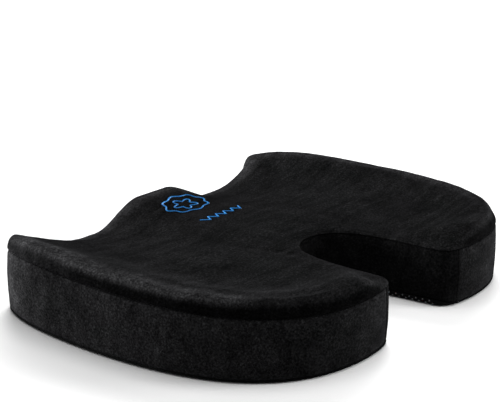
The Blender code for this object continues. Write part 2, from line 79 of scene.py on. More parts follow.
# Heights, as in the CAD, except RIM_ROUND: the CAD rounds the rim over 11 mm.
SEAM_MID = 0.0579
SEAM_SLOPE = -0.0259
RIM_RISE = 0.0156
RIM_ROUND = 0.0085
RIM_HOLD = 0.0060
RIM_FALL = 0.0650
SEAT_RISE = 0.0035
CUT_ROUND = 0.0090
ROUND_BLEND = 0.0300      # the two roundings blend over this at the leg tips
CUT_FADE = 0.0350
HUMP_CREST, GROOVE_CREST, CORNER_CREST = 0.0700, 0.0485, 0.0762
HUMP_SEAT, GROOVE_SEAT, CORNER_SEAT = 0.0610, 0.0485, 0.0625
HUMP_FLANK = (0.0200, 0.0850)
CORNER_FLANK = (0.1000, 0.2190)
GROOVE_END_Y = 0.0333

# Fineness of the cloth meshes.
STATION = 0.0030          # spacing of stations round the outline
CELL = 0.0034             # spacing of the surface points inside the rings
REACH = np.array([0.246, 0.190])      # half size of the area that the height map covers
MAP_STEP = 0.0020         # cell of the height map
MAP_BLUR = 0.0040         # softens the folds of the rim's height at the corners


# ---- plan outline ----------------------------------------------------------------------
RIGHT = np.array(HALF_OUTLINE)
CONTROL = np.vstack([RIGHT, RIGHT[1:-1][::-1] * (-1, 1)])
SPANS = len(CONTROL)


def outline(u):
    """Points of the closed cubic B-spline at an array of parameters."""
    u = np.asarray(u, float)
    i = np.floor(u).astype(int)
    t = (u - i)[:, None]
    p = [CONTROL[(i - 1 + k) % SPANS] for k in range(4)]
    return ((1 - t) ** 3 * p[0] + (3 * t ** 3 - 6 * t ** 2 + 4) * p[1]
            + (-3 * t ** 3 + 3 * t ** 2 + 3 * t + 1) * p[2] + t ** 3 * p[3]) / 6


def inwards(u):
    """Unit normals of the outline, pointing into the cushion."""
    step = 0.001
    along = outline(u + step) - outline(u - step)
    along /= np.linalg.norm(along, axis=1)[:, None]
    return np.column_stack([-along[:, 1], along[:, 0]])


def speed(u):
    """Distance along the outline per unit of its parameter."""
    step = 0.001
    return float(np.linalg.norm(outline([u + step]) - outline([u - step])) / (2 * step))


def run_of(points):
    """Distance along a line of points from its first one."""
    return np.concatenate([[0.0], np.cumsum(np.linalg.norm(np.diff(points, axis=0), axis=1))])


def even_stations(first, last, spacing, ends=()):
    """Parameters at an even spacing along the outline, with extra ones close to both ends."""
    fine = np.linspace(first, last, 4000)
    run = run_of(outline(fine))
    count = max(3, int(round(run[-1] / spacing)))
    marks = np.linspace(0, run[-1], count + 1)
    if len(ends):
        ends = np.array(ends)
        marks = marks[(marks > ends[-1] * 1.4) & (marks < run[-1] - ends[-1] * 1.4)]
        marks = np.concatenate([ends, marks, run[-1] - ends[::-1]])
    return np.interp(marks, run, fine)


OUTER_EDGE = outline(np.linspace(-LEG_TIP_U, LEG_TIP_U, 600))
CUT_EDGE = outline(np.linspace(LEG_TIP_U, SPANS - LEG_TIP_U, 260))


def distance(line, points):
    """Distance from each plan point to a polyline."""
    start = line[:-1]
    run = line[1:] - start
    size = (run ** 2).sum(axis=1)
    found = np.empty(len(points))
    for first in range(0, len(points), 2000):
        here = points[first:first + 2000]
        away = here[:, None, :] - start[None]
        share = np.clip((away * run).sum(axis=2) / size, 0, 1)
        near = away - share[..., None] * run
        found[first:first + 2000] = np.sqrt((near ** 2).sum(axis=2)).min(axis=1)
    return found


# ---- heights ---------------------------------------------------------------------------
def smooth(low, high, value):
    """0 below low, 1 above high, smooth between."""
    t = np.clip((np.asarray(value) - low) / (high - low), 0.0, 1.0)
    return t * t * (3 - 2 * t)


def across(x, hump, groove, corner):
    """Profile across the thigh edge: middle hump, two grooves, two corners."""
    x = np.abs(x)
    value = hump + (groove - hump) * smooth(*HUMP_FLANK, x)
    return value + (corner - groove) * smooth(*CORNER_FLANK, x)


def frontness(y):
    """1 at the thigh edge, 0 where the grooves have faded out."""
    return 1 - smooth(FRONT_Y, GROOVE_END_Y, y)


def seam_height(points):
    """Height of the top seam over plan points."""
    x, y = points[:, 0], points[:, 1]
    level = SEAM_MID + SEAM_SLOPE * y
    front = across(x, HUMP_CREST, GROOVE_CREST, CORNER_CREST) - RIM_RISE
    return level + (front - level) * frontness(y) ** 2


def seat_height(points):
    """Seat surface without its raised rim."""
    x, y = points[:, 0], points[:, 1]
    level = SEAM_MID + SEAM_SLOPE * y + SEAT_RISE
    front = across(x, HUMP_SEAT, GROOVE_SEAT, CORNER_SEAT)
    return level + (front - level) * frontness(y)


def crown_map():
    """Grid of the surface's height above the seam, softened so that the rim has no folds."""
    half = np.ceil(REACH / MAP_STEP).astype(int)
    xs = np.arange(-half[0], half[0] + 1) * MAP_STEP
    ys = np.arange(-half[1], half[1] + 1) * MAP_STEP
    points = np.stack(np.meshgrid(xs, ys, indexing="ij"), axis=-1).reshape(-1, 2)
    seam = seam_height(points)
    seat = seat_height(points)
    held = 1 - smooth(RIM_HOLD, RIM_FALL, distance(OUTER_EDGE, points))
    rim = np.maximum(seam + RIM_RISE - seat, 0) * held
    rim *= smooth(0.0, CUT_FADE, distance(CUT_EDGE, points))
    crown = (seat + rim - seam).reshape(len(xs), len(ys))
    reach = int(3 * MAP_BLUR / MAP_STEP)
    weights = np.exp(-0.5 * (np.arange(-reach, reach + 1) * MAP_STEP / MAP_BLUR) ** 2)
    weights /= weights.sum()
    for axis in (0, 1):
        pad = [(reach, reach) if k == axis else (0, 0) for k in (0, 1)]
        wide = np.pad(crown, pad, mode="edge")
        crown = np.apply_along_axis(lambda line: np.convolve(line, weights, "valid"), axis, wide)
    return crown, np.array([xs[0], ys[0]])


CROWN, CROWN_START = crown_map()


def crown_height(points):
    """Softened height above the seam at plan points, between the map's cells."""
    place = (points - CROWN_START) / MAP_STEP
    cell = np.clip(np.floor(place).astype(int), 0, np.array(CROWN.shape) - 2)
    tx, ty = (place - cell).T
    i, j = cell.T
    near = CROWN[i, j] * (1 - ty) + CROWN[i, j + 1] * ty
    far = CROWN[i + 1, j] * (1 - ty) + CROWN[i + 1, j + 1] * ty
    return near * (1 - tx) + far * tx


def top_height(points, inset=0.0, drop=0.0):
    """Height of the cover's top, or of a surface inset from its edge and dropped below it."""
    outer = distance(OUTER_EDGE, points)
    cut = distance(CUT_EDGE, points)
    width = CUT_ROUND + (RIM_ROUND - CUT_ROUND) * smooth(-ROUND_BLEND, ROUND_BLEND, cut - outer)
    t = 1 - np.clip((np.minimum(outer, cut) - inset) / (width - inset), 0, 1)
    return seam_height(points) + (crown_height(points) - drop) * np.sqrt(1 - t * t)


PUCKER_PITCH = 0.0105     # length of a pucker
PUCKER_DRIFT = 0.0470     # its pitch varies over this length
PUCKER_SWELL = 0.0830     # and its depth over this one


def pucker(run):
    """Uneven ripple of cloth gathered at a seam, -1 to 1, by distance along the seam."""
    wave = np.sin(2 * np.pi * run / PUCKER_PITCH + 1.6 * np.sin(2 * np.pi * run / PUCKER_DRIFT))
    swell = 0.55 + 0.45 * np.sin(2 * np.pi * run / PUCKER_SWELL + 1.0)
    return wave * swell


def lumps(points, coarse, fine):
    """Soft noise at two scales over space points, about -1 to 1."""
    return np.array([noise.noise(Vector(p) * coarse) * 0.65 + noise.noise(Vector(p) * fine) * 0.35
                     for p in points])


def cut_share(u):
    """0 along the outer walls, 1 along the cut-out, by parameter of the outline."""
    share = smooth(LEG_TIP_U - 0.1, LEG_TIP_U + 0.9, u)
    return share * (1 - smooth(SPANS - LEG_TIP_U - 0.9, SPANS - LEG_TIP_U + 0.1, u))


# ---- mesh helpers ----------------------------------------------------------------------
def new_piece(name, vertices, faces, finish, replaced=(), sharp=None, nap_and_painted_light=None):
    """Mesh object that rides on the cushion and stands for CAD nodes."""
    mesh = bpy.data.meshes.new(name)
    mesh.from_pydata([tuple(v) for v in vertices], [], [tuple(f) for f in faces])
    mesh.shade_smooth()
    if sharp:
        mesh.set_sharp_from_angle(angle=math.radians(sharp))
    # Painted light and shade per point, multiplied into the velour's colour.
    if nap_and_painted_light is not None:
        mesh.attributes.new("nap_and_painted_light", "FLOAT", "POINT").data.foreach_set("value", np.asarray(nap_and_painted_light, "f"))
    mesh.materials.append(finish)
    piece = bpy.data.objects.new(name, mesh)
    bpy.context.collection.objects.link(piece)
    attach(piece, BODY)
    if replaced:
        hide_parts(*replaced)
    return piece


def vertex_normals(vertices, faces):
    mesh = bpy.data.meshes.new("skin")
    mesh.from_pydata([tuple(v) for v in vertices], [], [tuple(f) for f in faces])
    normals = np.empty(len(vertices) * 3)
    mesh.vertices.foreach_get("normal", normals)
    bpy.data.meshes.remove(mesh)
    return normals.reshape(-1, 3)


def strip_faces(rows, columns):
    """Outward quads of a wall whose points run along the outline, row below row."""
    faces = []
    for r in range(rows - 1):
        for c in range(columns - 1):
            after = c + 1
            faces.append((r * columns + c, (r + 1) * columns + c,
                          (r + 1) * columns + after, r * columns + after))
    return faces


def ring_faces(rows):
    """Outward quads between closed rows of vertex numbers, each row below the one before it."""
    faces = []
    for upper, lower in zip(rows, rows[1:]):
        count = len(upper)
        for c in range(count):
            after = (c + 1) % count
            faces.append((upper[c], lower[c], lower[after], upper[after]))
    return faces


def add_ring(vertices, rows, plan, height):
    """The vertices with a further ring, whose numbers are added to rows."""
    rows.append(list(range(len(vertices), len(vertices) + len(plan))))
    return np.vstack([vertices, np.column_stack([plan, height])])


def thicken(vertices, faces, depth):
    """Closed shell: the given skin, and a copy moved inwards along its normals."""
    inner = np.asarray(vertices) - vertex_normals(vertices, faces) * depth
    count = len(vertices)
    uses = set()
    for face in faces:
        for a, b in zip(face, face[1:] + face[:1]):
            uses.add((a, b))
    rim = [(b, a, a + count, b + count) for a, b in uses if (b, a) not in uses]
    back = [tuple(i + count for i in reversed(face)) for face in faces]
    return np.vstack([vertices, inner]), faces + back + sorted(rim)


def point_in_loop(point, loop):
    """True where a plan point is inside a closed loop."""
    before = np.roll(loop, 1, axis=0)
    crosses = (loop[:, 1] > point[1]) != (before[:, 1] > point[1])
    rise = np.where(crosses, before[:, 1] - loop[:, 1], 1.0)
    at = (before[:, 0] - loop[:, 0]) * (point[1] - loop[:, 1]) / rise + loop[:, 0]
    return bool((crosses & (point[0] < at)).sum() % 2)


def hex_grid(cell):
    """Plan points of a triangular lattice that lie inside the cushion."""
    loop = outline(np.linspace(0, SPANS, 400)[:-1])
    points = []
    for k, y in enumerate(np.arange(-REACH[1], REACH[1], cell * math.sqrt(3) / 2)):
        for x in np.arange(-REACH[0], REACH[0], cell) + (cell / 2 if k % 2 else 0.0):
            if point_in_loop((x, y), loop):
                points.append((x, y))
    return np.array(points)


def edge_distance(points):
    return np.minimum(distance(OUTER_EDGE, points), distance(CUT_EDGE, points))


def plan_skin(first_inset, rings, spacing, cell):
    """Triangulated plan of the cushion: rings that follow the edge, then a lattice."""
    u = even_stations(0, SPANS, spacing)[:-1]
    base = outline(u)
    normal = inwards(u)
    loop = base + normal * first_inset
    points = [loop]
    for ring in rings:
        moved = base + normal * ring
        points.append(moved[edge_distance(moved) > ring - 0.0001])
    lattice = hex_grid(cell)
    points.append(lattice[edge_distance(lattice) > rings[-1] + cell * 0.6])
    edges = [(k, (k + 1) % len(loop)) for k in range(len(loop))]
    made = delaunay_2d_cdt([Vector(p) for p in np.vstack(points)], edges, [], 1, 1e-7)
    return np.array([tuple(v) for v in made[0]]), [tuple(face) for face in made[2]], u


TUBE_SIDES = 5


def tubes(paths, radii):
    """Vertices and faces of many short tubes: each path is a list of points and an up vector."""
    vertices = []
    faces = []
    sides = TUBE_SIDES
    turns = [2 * math.pi * k / sides for k in range(sides)]
    for path, up in paths:
        first = len(vertices)
        for k, point in enumerate(path):
            along = (path[min(k + 1, len(path) - 1)] - path[max(k - 1, 0)]).normalized()
            side = along.cross(up).normalized()
            rise = side.cross(along)
            for turn in turns:
                vertices.append(point + (side * math.cos(turn) + rise * math.sin(turn)) * radii[k])
        for k in range(len(path) - 1):
            for j in range(sides):
                after = (j + 1) % sides
                row = first + k * sides
                faces.append((row + j, row + after, row + sides + after, row + sides + j))
        last = first + (len(path) - 1) * sides
        faces.append(tuple(first + j for j in reversed(range(sides))))
        faces.append(tuple(last + j for j in range(sides)))
    return vertices, faces


# ---- cloth simulation ------------------------------------------------------------------
SWELL_CAP = 0.0022        # furthest that the simulated cover moves
SWELL_ROOM = 0.0008       # the top starts this much lower, because it swells
VOXEL = 0.0050
ROUGH_RINGS = (0.0025, 0.006, 0.011, 0.018)
PRESSURE = 4.0
CLOTH_FRAMES = 20
SEAM_HELD = (0.0045, 0.006)   # held this close to the seam, in height and in plan
BASE_HELD = 0.004             # and this far above the foot of the walls
NEAR_POINTS = 7               # simulated points that move each point of a skin


def rough_body():
    """Closed rough copy of the whole cover."""
    plan, faces, u = plan_skin(0.0002, ROUGH_RINGS, 0.006, 0.008)
    vertices = np.column_stack([plan, top_height(plan)])
    count = len(u)
    base = outline(u)
    seam = seam_height(base)
    rows = [list(range(count))]
    for share in np.linspace(0.02, 1.0, 9):
        vertices = add_ring(vertices, rows, base, seam + (FOOT - seam) * share)
    faces += ring_faces(rows)
    faces.append(tuple(reversed(rows[-1])))
    mesh = bpy.data.meshes.new("rough")
    mesh.from_pydata([tuple(v) for v in vertices], [], faces)
    body = bpy.data.objects.new("rough", mesh)
    bpy.context.collection.objects.link(body)
    remesh = body.modifiers.new("remesh", "REMESH")
    remesh.mode = "VOXEL"
    remesh.voxel_size = VOXEL
    graph = bpy.context.evaluated_depsgraph_get()
    even = bpy.data.meshes.new_from_object(body.evaluated_get(graph))
    body.modifiers.clear()
    body.data = even
    return body


def coordinates(mesh):
    found = np.empty(len(mesh.vertices) * 3)
    mesh.vertices.foreach_get("co", found)
    return found.reshape(-1, 3)


def swelling():
    """Inflate the rough cover as cloth held at its seams; where and how far it moved."""
    body = rough_body()
    start = coordinates(body.data)
    plan = start[:, :2]
    at_seam = np.abs(start[:, 2] - seam_height(plan)) < SEAM_HELD[0]
    at_seam &= edge_distance(plan) < SEAM_HELD[1]
    at_base = start[:, 2] < FOOT + BASE_HELD
    held = body.vertex_groups.new(name="held")
    held.add([int(i) for i in np.flatnonzero(at_seam | at_base)], 1.0, "REPLACE")
    cloth = body.modifiers.new("cloth", "CLOTH")
    cloth.settings.vertex_group_mass = "held"
    cloth.settings.use_pressure = True
    cloth.settings.uniform_pressure_force = PRESSURE
    cloth.settings.effector_weights.gravity = 0.0
    cloth.point_cache.frame_start = 1
    cloth.point_cache.frame_end = CLOTH_FRAMES
    scene = bpy.context.scene
    for frame_number in range(1, CLOTH_FRAMES + 1):
        scene.frame_set(frame_number)
    graph = bpy.context.evaluated_depsgraph_get()
    end = coordinates(body.evaluated_get(graph).data)
    scene.frame_set(1)
    bpy.data.objects.remove(body, do_unlink=True)
    moved = end - start
    size = np.linalg.norm(moved, axis=1)[:, None] + 1e-9
    moved = moved / size * SWELL_CAP * np.tanh(size / SWELL_CAP)
    tree = KDTree(len(start))
    for k, point in enumerate(start):
        tree.insert(point, k)
    tree.balance()
    return tree, moved


SWELL = swelling()


def simulated(vertices):
    """A skin moved as the simulated cover moved near each of its points."""
    if SWELL is None:
        return vertices
    tree, moved = SWELL
    result = np.array(vertices, float)
    for k, vertex in enumerate(vertices):
        near = tree.find_n(vertex, NEAR_POINTS)
        weights = np.array([1 / (gap + 0.002) ** 2 for _, _, gap in near])
        shifts = moved[[index for _, index, _ in near]]
        result[k] += (shifts * weights[:, None]).sum(axis=0) / weights.sum()
    return result


# ---- cover -----------------------------------------------------------------------------
RINGS = (0.0004, 0.0009, 0.0016, 0.0025, 0.0036, 0.0049, 0.0064, 0.0081, 0.0100, 0.0122,
         0.0146, 0.0173, 0.0202, 0.0233, 0.0266)
# Rolled edge of the top panel, from its rim down into the seam: inset, share of its rise
# and height.
TOP_LIP = ((0.00030, 0.62, 0.0), (0.00085, 0.28, 0.0), (0.00160, 0.10, 0.0),
           (0.00280, 0.03, -0.0001), (0.00390, 0.0, -0.0006))
GATHER = 0.00032          # depth of the puckers at a seam
TOP_LUMPS = 0.00018       # height of the soft lumps
EDGE_LUMPS = 0.00045      # and how much higher they are along the edge
EDGE_LUMPS_REACH = 0.010
EDGE_STILL = 0.003        # the lumps set in over this distance from the edge
SETTLED = (0.004, 0.030)  # SWELL_ROOM sets in between these, inwards
# Painted light and shade, multiplied into the velour's colour, not a real change of the pile. It is
# painted on to follow the photo, so it holds a painted shade on the rim's outer slope and a painted
# highlight along its crest. Between the two places of a range a value sets in or dies away.
PAINTED_RIM_SHADE = 0.25            # painted shade on the rim's outer slope
PAINTED_RIM_SHADE_Y = (-0.1300, -0.0200)
PAINTED_CREST_HIGHLIGHT = 2.7          # painted highlight along the rim's crest
PAINTED_CREST_BOUNDS = ((0.0008, 0.0040), (0.0120, 0.0260))      # where the crest's painted highlight begins and ends, inwards
CREST_FADE_Y = (0.0900, 0.1350)       # the crest's painted highlight dies away here
PAINTED_LIGHT_CUT_FADE = 0.020     # the top's painted shade and highlight fade out beside the cut-out


def top_painted_shade_and_highlight(plan):
    """Painted shade and highlight of the velour: dark on the rim's outer slope, light along its
    crest.
    """
    outer = distance(OUTER_EDGE, plan)
    crest = smooth(*PAINTED_CREST_BOUNDS[0], outer) * (1 - smooth(*PAINTED_CREST_BOUNDS[1], outer))
    crest *= 1 - smooth(*CREST_FADE_Y, plan[:, 1])
    below = 1 - (1 - PAINTED_RIM_SHADE) * smooth(*PAINTED_RIM_SHADE_Y, plan[:, 1])
    nap_and_painted_light = below + (1 - below) * smooth(*PAINTED_CREST_BOUNDS[0], outer)
    cut = smooth(0.0, PAINTED_LIGHT_CUT_FADE, distance(CUT_EDGE, plan))
    return (nap_and_painted_light + (PAINTED_CREST_HIGHLIGHT - 1) * crest) * cut + (1 - cut)


def top_skin():
    """Outer skin of the top panel: height field, then the lip that turns into the seam."""
    plan, faces, u = plan_skin(0.00012, RINGS, STATION, CELL)
    vertices = np.column_stack([plan, top_height(plan)])
    count = len(u)
    edge = vertices[:count].copy()
    inside = edge_distance(plan)
    height = TOP_LUMPS + EDGE_LUMPS * np.exp(-inside / EDGE_LUMPS_REACH)
    lift = lumps(vertices, 70.0, 190.0) * height
    settled = SWELL_ROOM * smooth(*SETTLED, inside) * (0 if SWELL is None else 1)
    vertices[:, 2] += lift * smooth(0.0, EDGE_STILL, inside) - settled
    base = outline(u)
    normal = inwards(u)
    seam = seam_height(base)
    gather = pucker(run_of(base)) * GATHER
    rows = [list(range(count))]
    for k, (inset, share, height) in enumerate(TOP_LIP):
        spot = base + normal * (inset + gather * (1 if k < 2 else 0.4))[:, None]
        rise = (edge[:, 2] - seam) * share + height
        vertices = add_ring(vertices, rows, spot, seam + rise)
    faces += ring_faces(rows)
    # Painted shade and highlight of the top, also on the lip that turns into the seam.
    nap_and_painted_light = np.concatenate([top_painted_shade_and_highlight(plan), np.tile(top_painted_shade_and_highlight(plan[:count]), len(TOP_LIP))])
    return simulated(vertices), faces, nap_and_painted_light


def make_top_panel(finish):
    """Velour top panel; returns its outer surface for the stitching."""
    vertices, faces, nap_and_painted_light = top_skin()
    shell, shell_faces = thicken(vertices, faces, CLOTH)
    piece = new_piece("cover_top", shell, shell_faces, finish, ["top_panel"],
                      nap_and_painted_light=np.tile(nap_and_painted_light, 2))
    return BVHTree.FromPolygons([tuple(v) for v in vertices], faces)


# Edge profiles of a wall strip, as inset and distance from its edge.
SEAM_ROLL = ((0.0038, 0.0001), (0.0028, 0.0001), (0.0016, 0.0004), (0.0008, 0.0010),
             (0.0003, 0.0021))
FOOT_ROLL = ((0.00045, 0.0014), (0.0013, 0.0004), (0.0028, 0.0000))
FOLD_ROLL = ((0.0014, 0.0000), (0.0007, 0.0003), (0.0002, 0.0010))
LAP = 0.0070              # seam allowance of the outer walls behind the ends of the zip
LAP_DEPTH = 0.0034
LAP_START = 0.0003        # first row of the seam allowance
END_ROLL = ((0.0, 0.0008), (0.0003, 0.0003), (0.0008, 0.0001), (0.0016, 0.0))
WALL_BULGE = 0.0009
ROLL_GAP = 0.0014         # between a rolled edge and the rows of the wall
PUCKER_FADE = 7           # how fast the puckers fade down the wall
WALL_LUMPS = 0.00045
PAINTED_CUT_SHADE = 0.5             # painted shade on the cut-out's wall, darker than the outer walls
PAINTED_WALL_LIGHT = 1.8        # extra painted light on the outer walls, towards the thigh edge
PAINTED_WALL_LIGHT_Y = (-0.1700, -0.0900)
PAINTED_WALL_LIGHT_FADE = 0.0400     # the painted light sets in over this distance beside the zip's strips


def wall_strip(name, u, high, low, high_roll, low_roll, steps, finish, replaced, margin=None,
               laps=(0, 0)):
    """Wall strip with rolled edges, a slight bulge and puckers along its seams."""
    base = outline(u)
    if margin is not None:
        base[:, 0] = np.clip(base[:, 0], -margin, margin)
    normal = inwards(u)
    run = run_of(base)
    end = np.minimum(run - laps[0], run[-1] - laps[1] - run)
    tuck = np.where(end < -0.0001, LAP_DEPTH, np.interp(end, *zip(*END_ROLL)))
    gather = pucker(run)
    rows = []

    def row(inset, height):
        rows.append(np.column_stack([base + normal * (inset + tuck)[:, None], height]))

    for inset, below in high_roll:
        row(inset - gather * GATHER * 0.8, high - below)
    high_end = high - high_roll[-1][1] - ROLL_GAP
    low_end = low + low_roll[0][1] + ROLL_GAP
    for k in range(steps):
        share = k / (steps - 1)
        bulge = WALL_BULGE * math.sin(math.pi * share)
        puckers = gather * GATHER * 0.7 * math.exp(-share * PUCKER_FADE)
        row(-bulge - puckers, high_end + (low_end - high_end) * share)
    for inset, above in low_roll:
        row(np.full(len(u), inset), low + above)
    vertices = np.vstack(rows)
    faces = strip_faces(len(rows), len(u))
    swell = lumps(vertices, 42.0, 120.0) * WALL_LUMPS
    away = vertex_normals(vertices, faces) * swell[:, None]
    vertices = simulated(vertices + away)
    shell, shell_faces = thicken(vertices, faces, CLOTH)
    if name == "cover_cutout":
        # Painted shade: the cut-out's wall is darkened all over.
        nap_and_painted_light = np.full(len(shell), PAINTED_CUT_SHADE)
    else:
        # Painted light: the outer walls are lighter towards the thigh edge.
        brush_streaks_and_painted_light = smooth(GUSSET_HALF, GUSSET_HALF + PAINTED_WALL_LIGHT_FADE, np.abs(shell[:, 0]))
        nap_and_painted_light = 1 + PAINTED_WALL_LIGHT * brush_streaks_and_painted_light * (1 - smooth(*PAINTED_WALL_LIGHT_Y, shell[:, 1]))
    piece = new_piece(name, shell, shell_faces, finish, replaced, nap_and_painted_light=nap_and_painted_light)


def make_walls(finish):
    """The two outer walls, the cut-out's wall and the two strips beside the zip."""
    ends = [offset for offset, _ in END_ROLL]
    for name, first, last, node, laps in (
            ("cover_side_right", FRONT_SEAM_U, LEG_TIP_U, "side_band_right", (LAP, LAP)),
            ("cover_side_left", SPANS - LEG_TIP_U, SPANS - FRONT_SEAM_U, "side_band_left",
             (LAP, LAP)),
            ("cover_cutout", LEG_TIP_U, SPANS - LEG_TIP_U, "cutout_band", (0, 0))):
        u = even_stations(first, last, STATION, ends)
        lap = np.array([LAP_START, LAP / 2, LAP])
        if laps[0]:
            u = np.concatenate([first - lap[::-1] / speed(first), u])
        if laps[1]:
            u = np.concatenate([u, last + lap / speed(last)])
        low = FOOT + (CUT_FOOT - FOOT) * cut_share(u)
        wall_strip(name, u, seam_height(outline(u)), low, SEAM_ROLL, FOOT_ROLL, 17, finish, [node],
                   laps=laps)
    u = even_stations(-FRONT_SEAM_U, FRONT_SEAM_U, STATION, ends)
    flat = np.full(len(u), 1.0)
    wall_strip("cover_front_upper", u, seam_height(outline(u)), WINDOW_HIGH * flat, SEAM_ROLL,
               FOLD_ROLL[::-1], 11, finish, ["zip_gusset_upper"], GUSSET_HALF)
    wall_strip("cover_front_lower", u, WINDOW_LOW * flat, FOOT * flat, FOLD_ROLL, FOOT_ROLL, 7,
               finish, ["zip_gusset_lower"], GUSSET_HALF)


STITCH_PITCH = 0.0030
STITCH_RADIUS = 0.00022
STITCH_ENDS = (-0.36, -0.15, 0.15, 0.36)      # points of a stitch, in pitches
STITCH_TAPER = (0.5, 1.0, 1.0, 0.5)
STITCH_ARCH = (-0.0002, 0.0002, 0.0002, -0.0002)
FOLD_STITCH = 0.0026      # stitches beside the zip, from the fold
FOLD_MARGIN = 0.004       # and from the ends of the zip's strips
STITCH_INSET = 0.00075    # stitches of the top seam: inwards, down and slanting
STITCH_DROP = 0.0004
STITCH_SLANT = 0.0007


def make_seam_stitches(finish):
    """Thread that shows in the groove of the top seam and beside the zip."""
    paths = []
    u = even_stations(0, SPANS, STITCH_PITCH)[:-1]
    base = outline(u)
    normal = inwards(u)
    along = np.column_stack([normal[:, 1], -normal[:, 0]])
    seam = seam_height(base)
    for k in range(len(u)):
        path = []
        for share in STITCH_ENDS:
            spot = base[k] + along[k] * share * STITCH_PITCH + normal[k] * STITCH_INSET
            path.append(Vector((*spot, seam[k] - STITCH_DROP + STITCH_SLANT * share)))
        paths.append((path, Vector((0, 0, 1))))
    for side, level in ((1, WINDOW_HIGH), (-1, WINDOW_LOW)):
        for x in np.arange(-GUSSET_HALF + FOLD_MARGIN, GUSSET_HALF - FOLD_MARGIN, STITCH_PITCH):
            path = [Vector((x + share * STITCH_PITCH, FRONT_Y - WALL_BULGE * 0.5 - lift,
                            level + side * FOLD_STITCH))
                    for share, lift in zip(STITCH_ENDS, STITCH_ARCH)]
            paths.append((path, Vector((0, 0, 1))))
    radii = [STITCH_RADIUS * share for share in STITCH_TAPER]
    vertices, faces = tubes(paths, radii)
    new_piece("seam_stitches", vertices, faces, finish)


# ---- foam block ------------------------------------------------------------------------
def make_foam(finish):
    """Moulded foam block inside the cover."""
    rings = (0.0052, 0.0068, 0.0088, 0.0112, 0.0142, 0.0180, 0.0225)
    plan, faces, u = plan_skin(CORE_INSET, rings, 0.0055, 0.0065)
    vertices = np.column_stack([plan, top_height(plan, CORE_INSET, CORE_DROP + SWELL_ROOM)])
    count = len(u)
    loop = plan[:count]
    edge = vertices[:count, 2]
    rows = [list(range(count))]
    floor = BASE_LIFT + BASE_CLOTH + CORE_GAP
    for share in np.linspace(0.12, 1.0, 8):
        vertices = add_ring(vertices, rows, loop, edge + (floor - edge) * share)
    faces += ring_faces(rows)
    faces.append(tuple(reversed(rows[-1])))
    piece = new_piece("foam_block", vertices, faces, finish, ["foam_core"], sharp=50)


# ---- base cloth ------------------------------------------------------------------------
TUCKED_INSET = 0.0034     # the cloth's edge, tucked up behind the foot of the walls
TUCKED_RISE = 0.0012
FOOT_GAP = 0.0003         # between the turned-up cloth and the foot of the walls
# Turned-up edge of the base cloth: inset and share of its height.
TURN_UP = ((0.0008, 0.10), (0.0003, 0.35), (0.0001, 0.70), (0.0004, 0.92), (0.0014, 1.0))
BASE_INSET = 0.0016
BASE_RINGS = (0.003, 0.006, 0.012)
DOT_PITCH = 0.0070
DOT_RADIUS = 0.0016
DOT_MARGIN = 0.0045       # dots stay this far inside the base's edge
DOT_SIDES = 8
EDGE_DOT_HEIGHTS = (0.0021, 0.0043)   # the two rows on the turned-up edge
EDGE_DOT_RADIUS = 0.0008
EDGE_DOT_RISE = 0.0005


def make_base(cloth_finish):
    """Non-slip base cloth that turns up round the edge, higher along the cut-out."""
    plan, faces, u = plan_skin(BASE_INSET, BASE_RINGS, 0.0045, 0.0120)
    faces = [tuple(reversed(face)) for face in faces]
    vertices = np.column_stack([plan, np.full(len(plan), BASE_LIFT)])
    count = len(u)
    base = outline(u)
    normal = inwards(u)
    top = FOOT - FOOT_GAP + (CUT_FOOT - FOOT) * cut_share(u)
    rows = [list(range(count))]
    for inset, share in TURN_UP:
        height = BASE_LIFT + (top - BASE_LIFT) * share
        vertices = add_ring(vertices, rows, base + normal * inset, height)
    vertices = add_ring(vertices, rows, base + normal * TUCKED_INSET, top + TUCKED_RISE)
    for lower, upper in zip(rows, rows[1:]):
        for c in range(count):
            after = (c + 1) % count
            faces.append((lower[c], lower[after], upper[after], upper[c]))
    shell, shell_faces = thicken(vertices, faces, BASE_CLOTH)
    piece = new_piece("base_cloth", shell, shell_faces, cloth_finish,
                      ["bottom_panel"])


def make_grip_dots(finish):
    """Moulded grip dots under the base cloth and on its turned-up edge in the cut-out."""
    spots = []
    lattice = hex_grid(DOT_PITCH)
    for x, y in lattice[edge_distance(lattice) > DOT_MARGIN]:
        spots.append((Vector((x, y, BASE_LIFT)), Vector((0, 0, -1)), DOT_RADIUS, BASE_LIFT - BASE))
    for row, height in enumerate(EDGE_DOT_HEIGHTS):
        u = even_stations(LEG_TIP_U + 1.0, SPANS - LEG_TIP_U - 1.0, DOT_PITCH)
        if row:
            u = (u[1:] + u[:-1]) / 2
        normal = inwards(u)
        for point, inner in zip(outline(u) + normal * 0.0002, normal):
            spots.append((Vector((*point, height)), Vector((*-inner, 0)), EDGE_DOT_RADIUS,
                          EDGE_DOT_RISE))
    vertices = []
    faces = []
    sides = DOT_SIDES
    for centre, out, radius, rise in spots:
        side = out.orthogonal().normalized()
        other = out.cross(side)
        first = len(vertices)
        for share, level in ((1.0, -0.0002), (0.92, 0.45 * rise), (0.55, 0.9 * rise)):
            for k in range(sides):
                turn = 2 * math.pi * k / sides
                vertices.append(centre + out * level
                                + (side * math.cos(turn) + other * math.sin(turn)) * radius * share)
        vertices.append(centre + out * rise)
        for ring in range(2):
            for k in range(sides):
                after = (k + 1) % sides
                a = first + ring * sides
                faces.append((a + k, a + after, a + sides + after, a + sides + k))
        for k in range(sides):
            faces.append((first + 2 * sides + k, first + 2 * sides + (k + 1) % sides,
                          first + 3 * sides))
        faces.append(tuple(first + k for k in reversed(range(sides))))
    new_piece("grip_dots", vertices, faces, finish)


# ---- label -----------------------------------------------------------------------------
LABEL_CLOTH = 0.0004
LABEL_STAND = 0.0012      # away from the wall, and its bow beyond that
LABEL_BOW = 0.0022
LABEL_WAVE = 0.0004


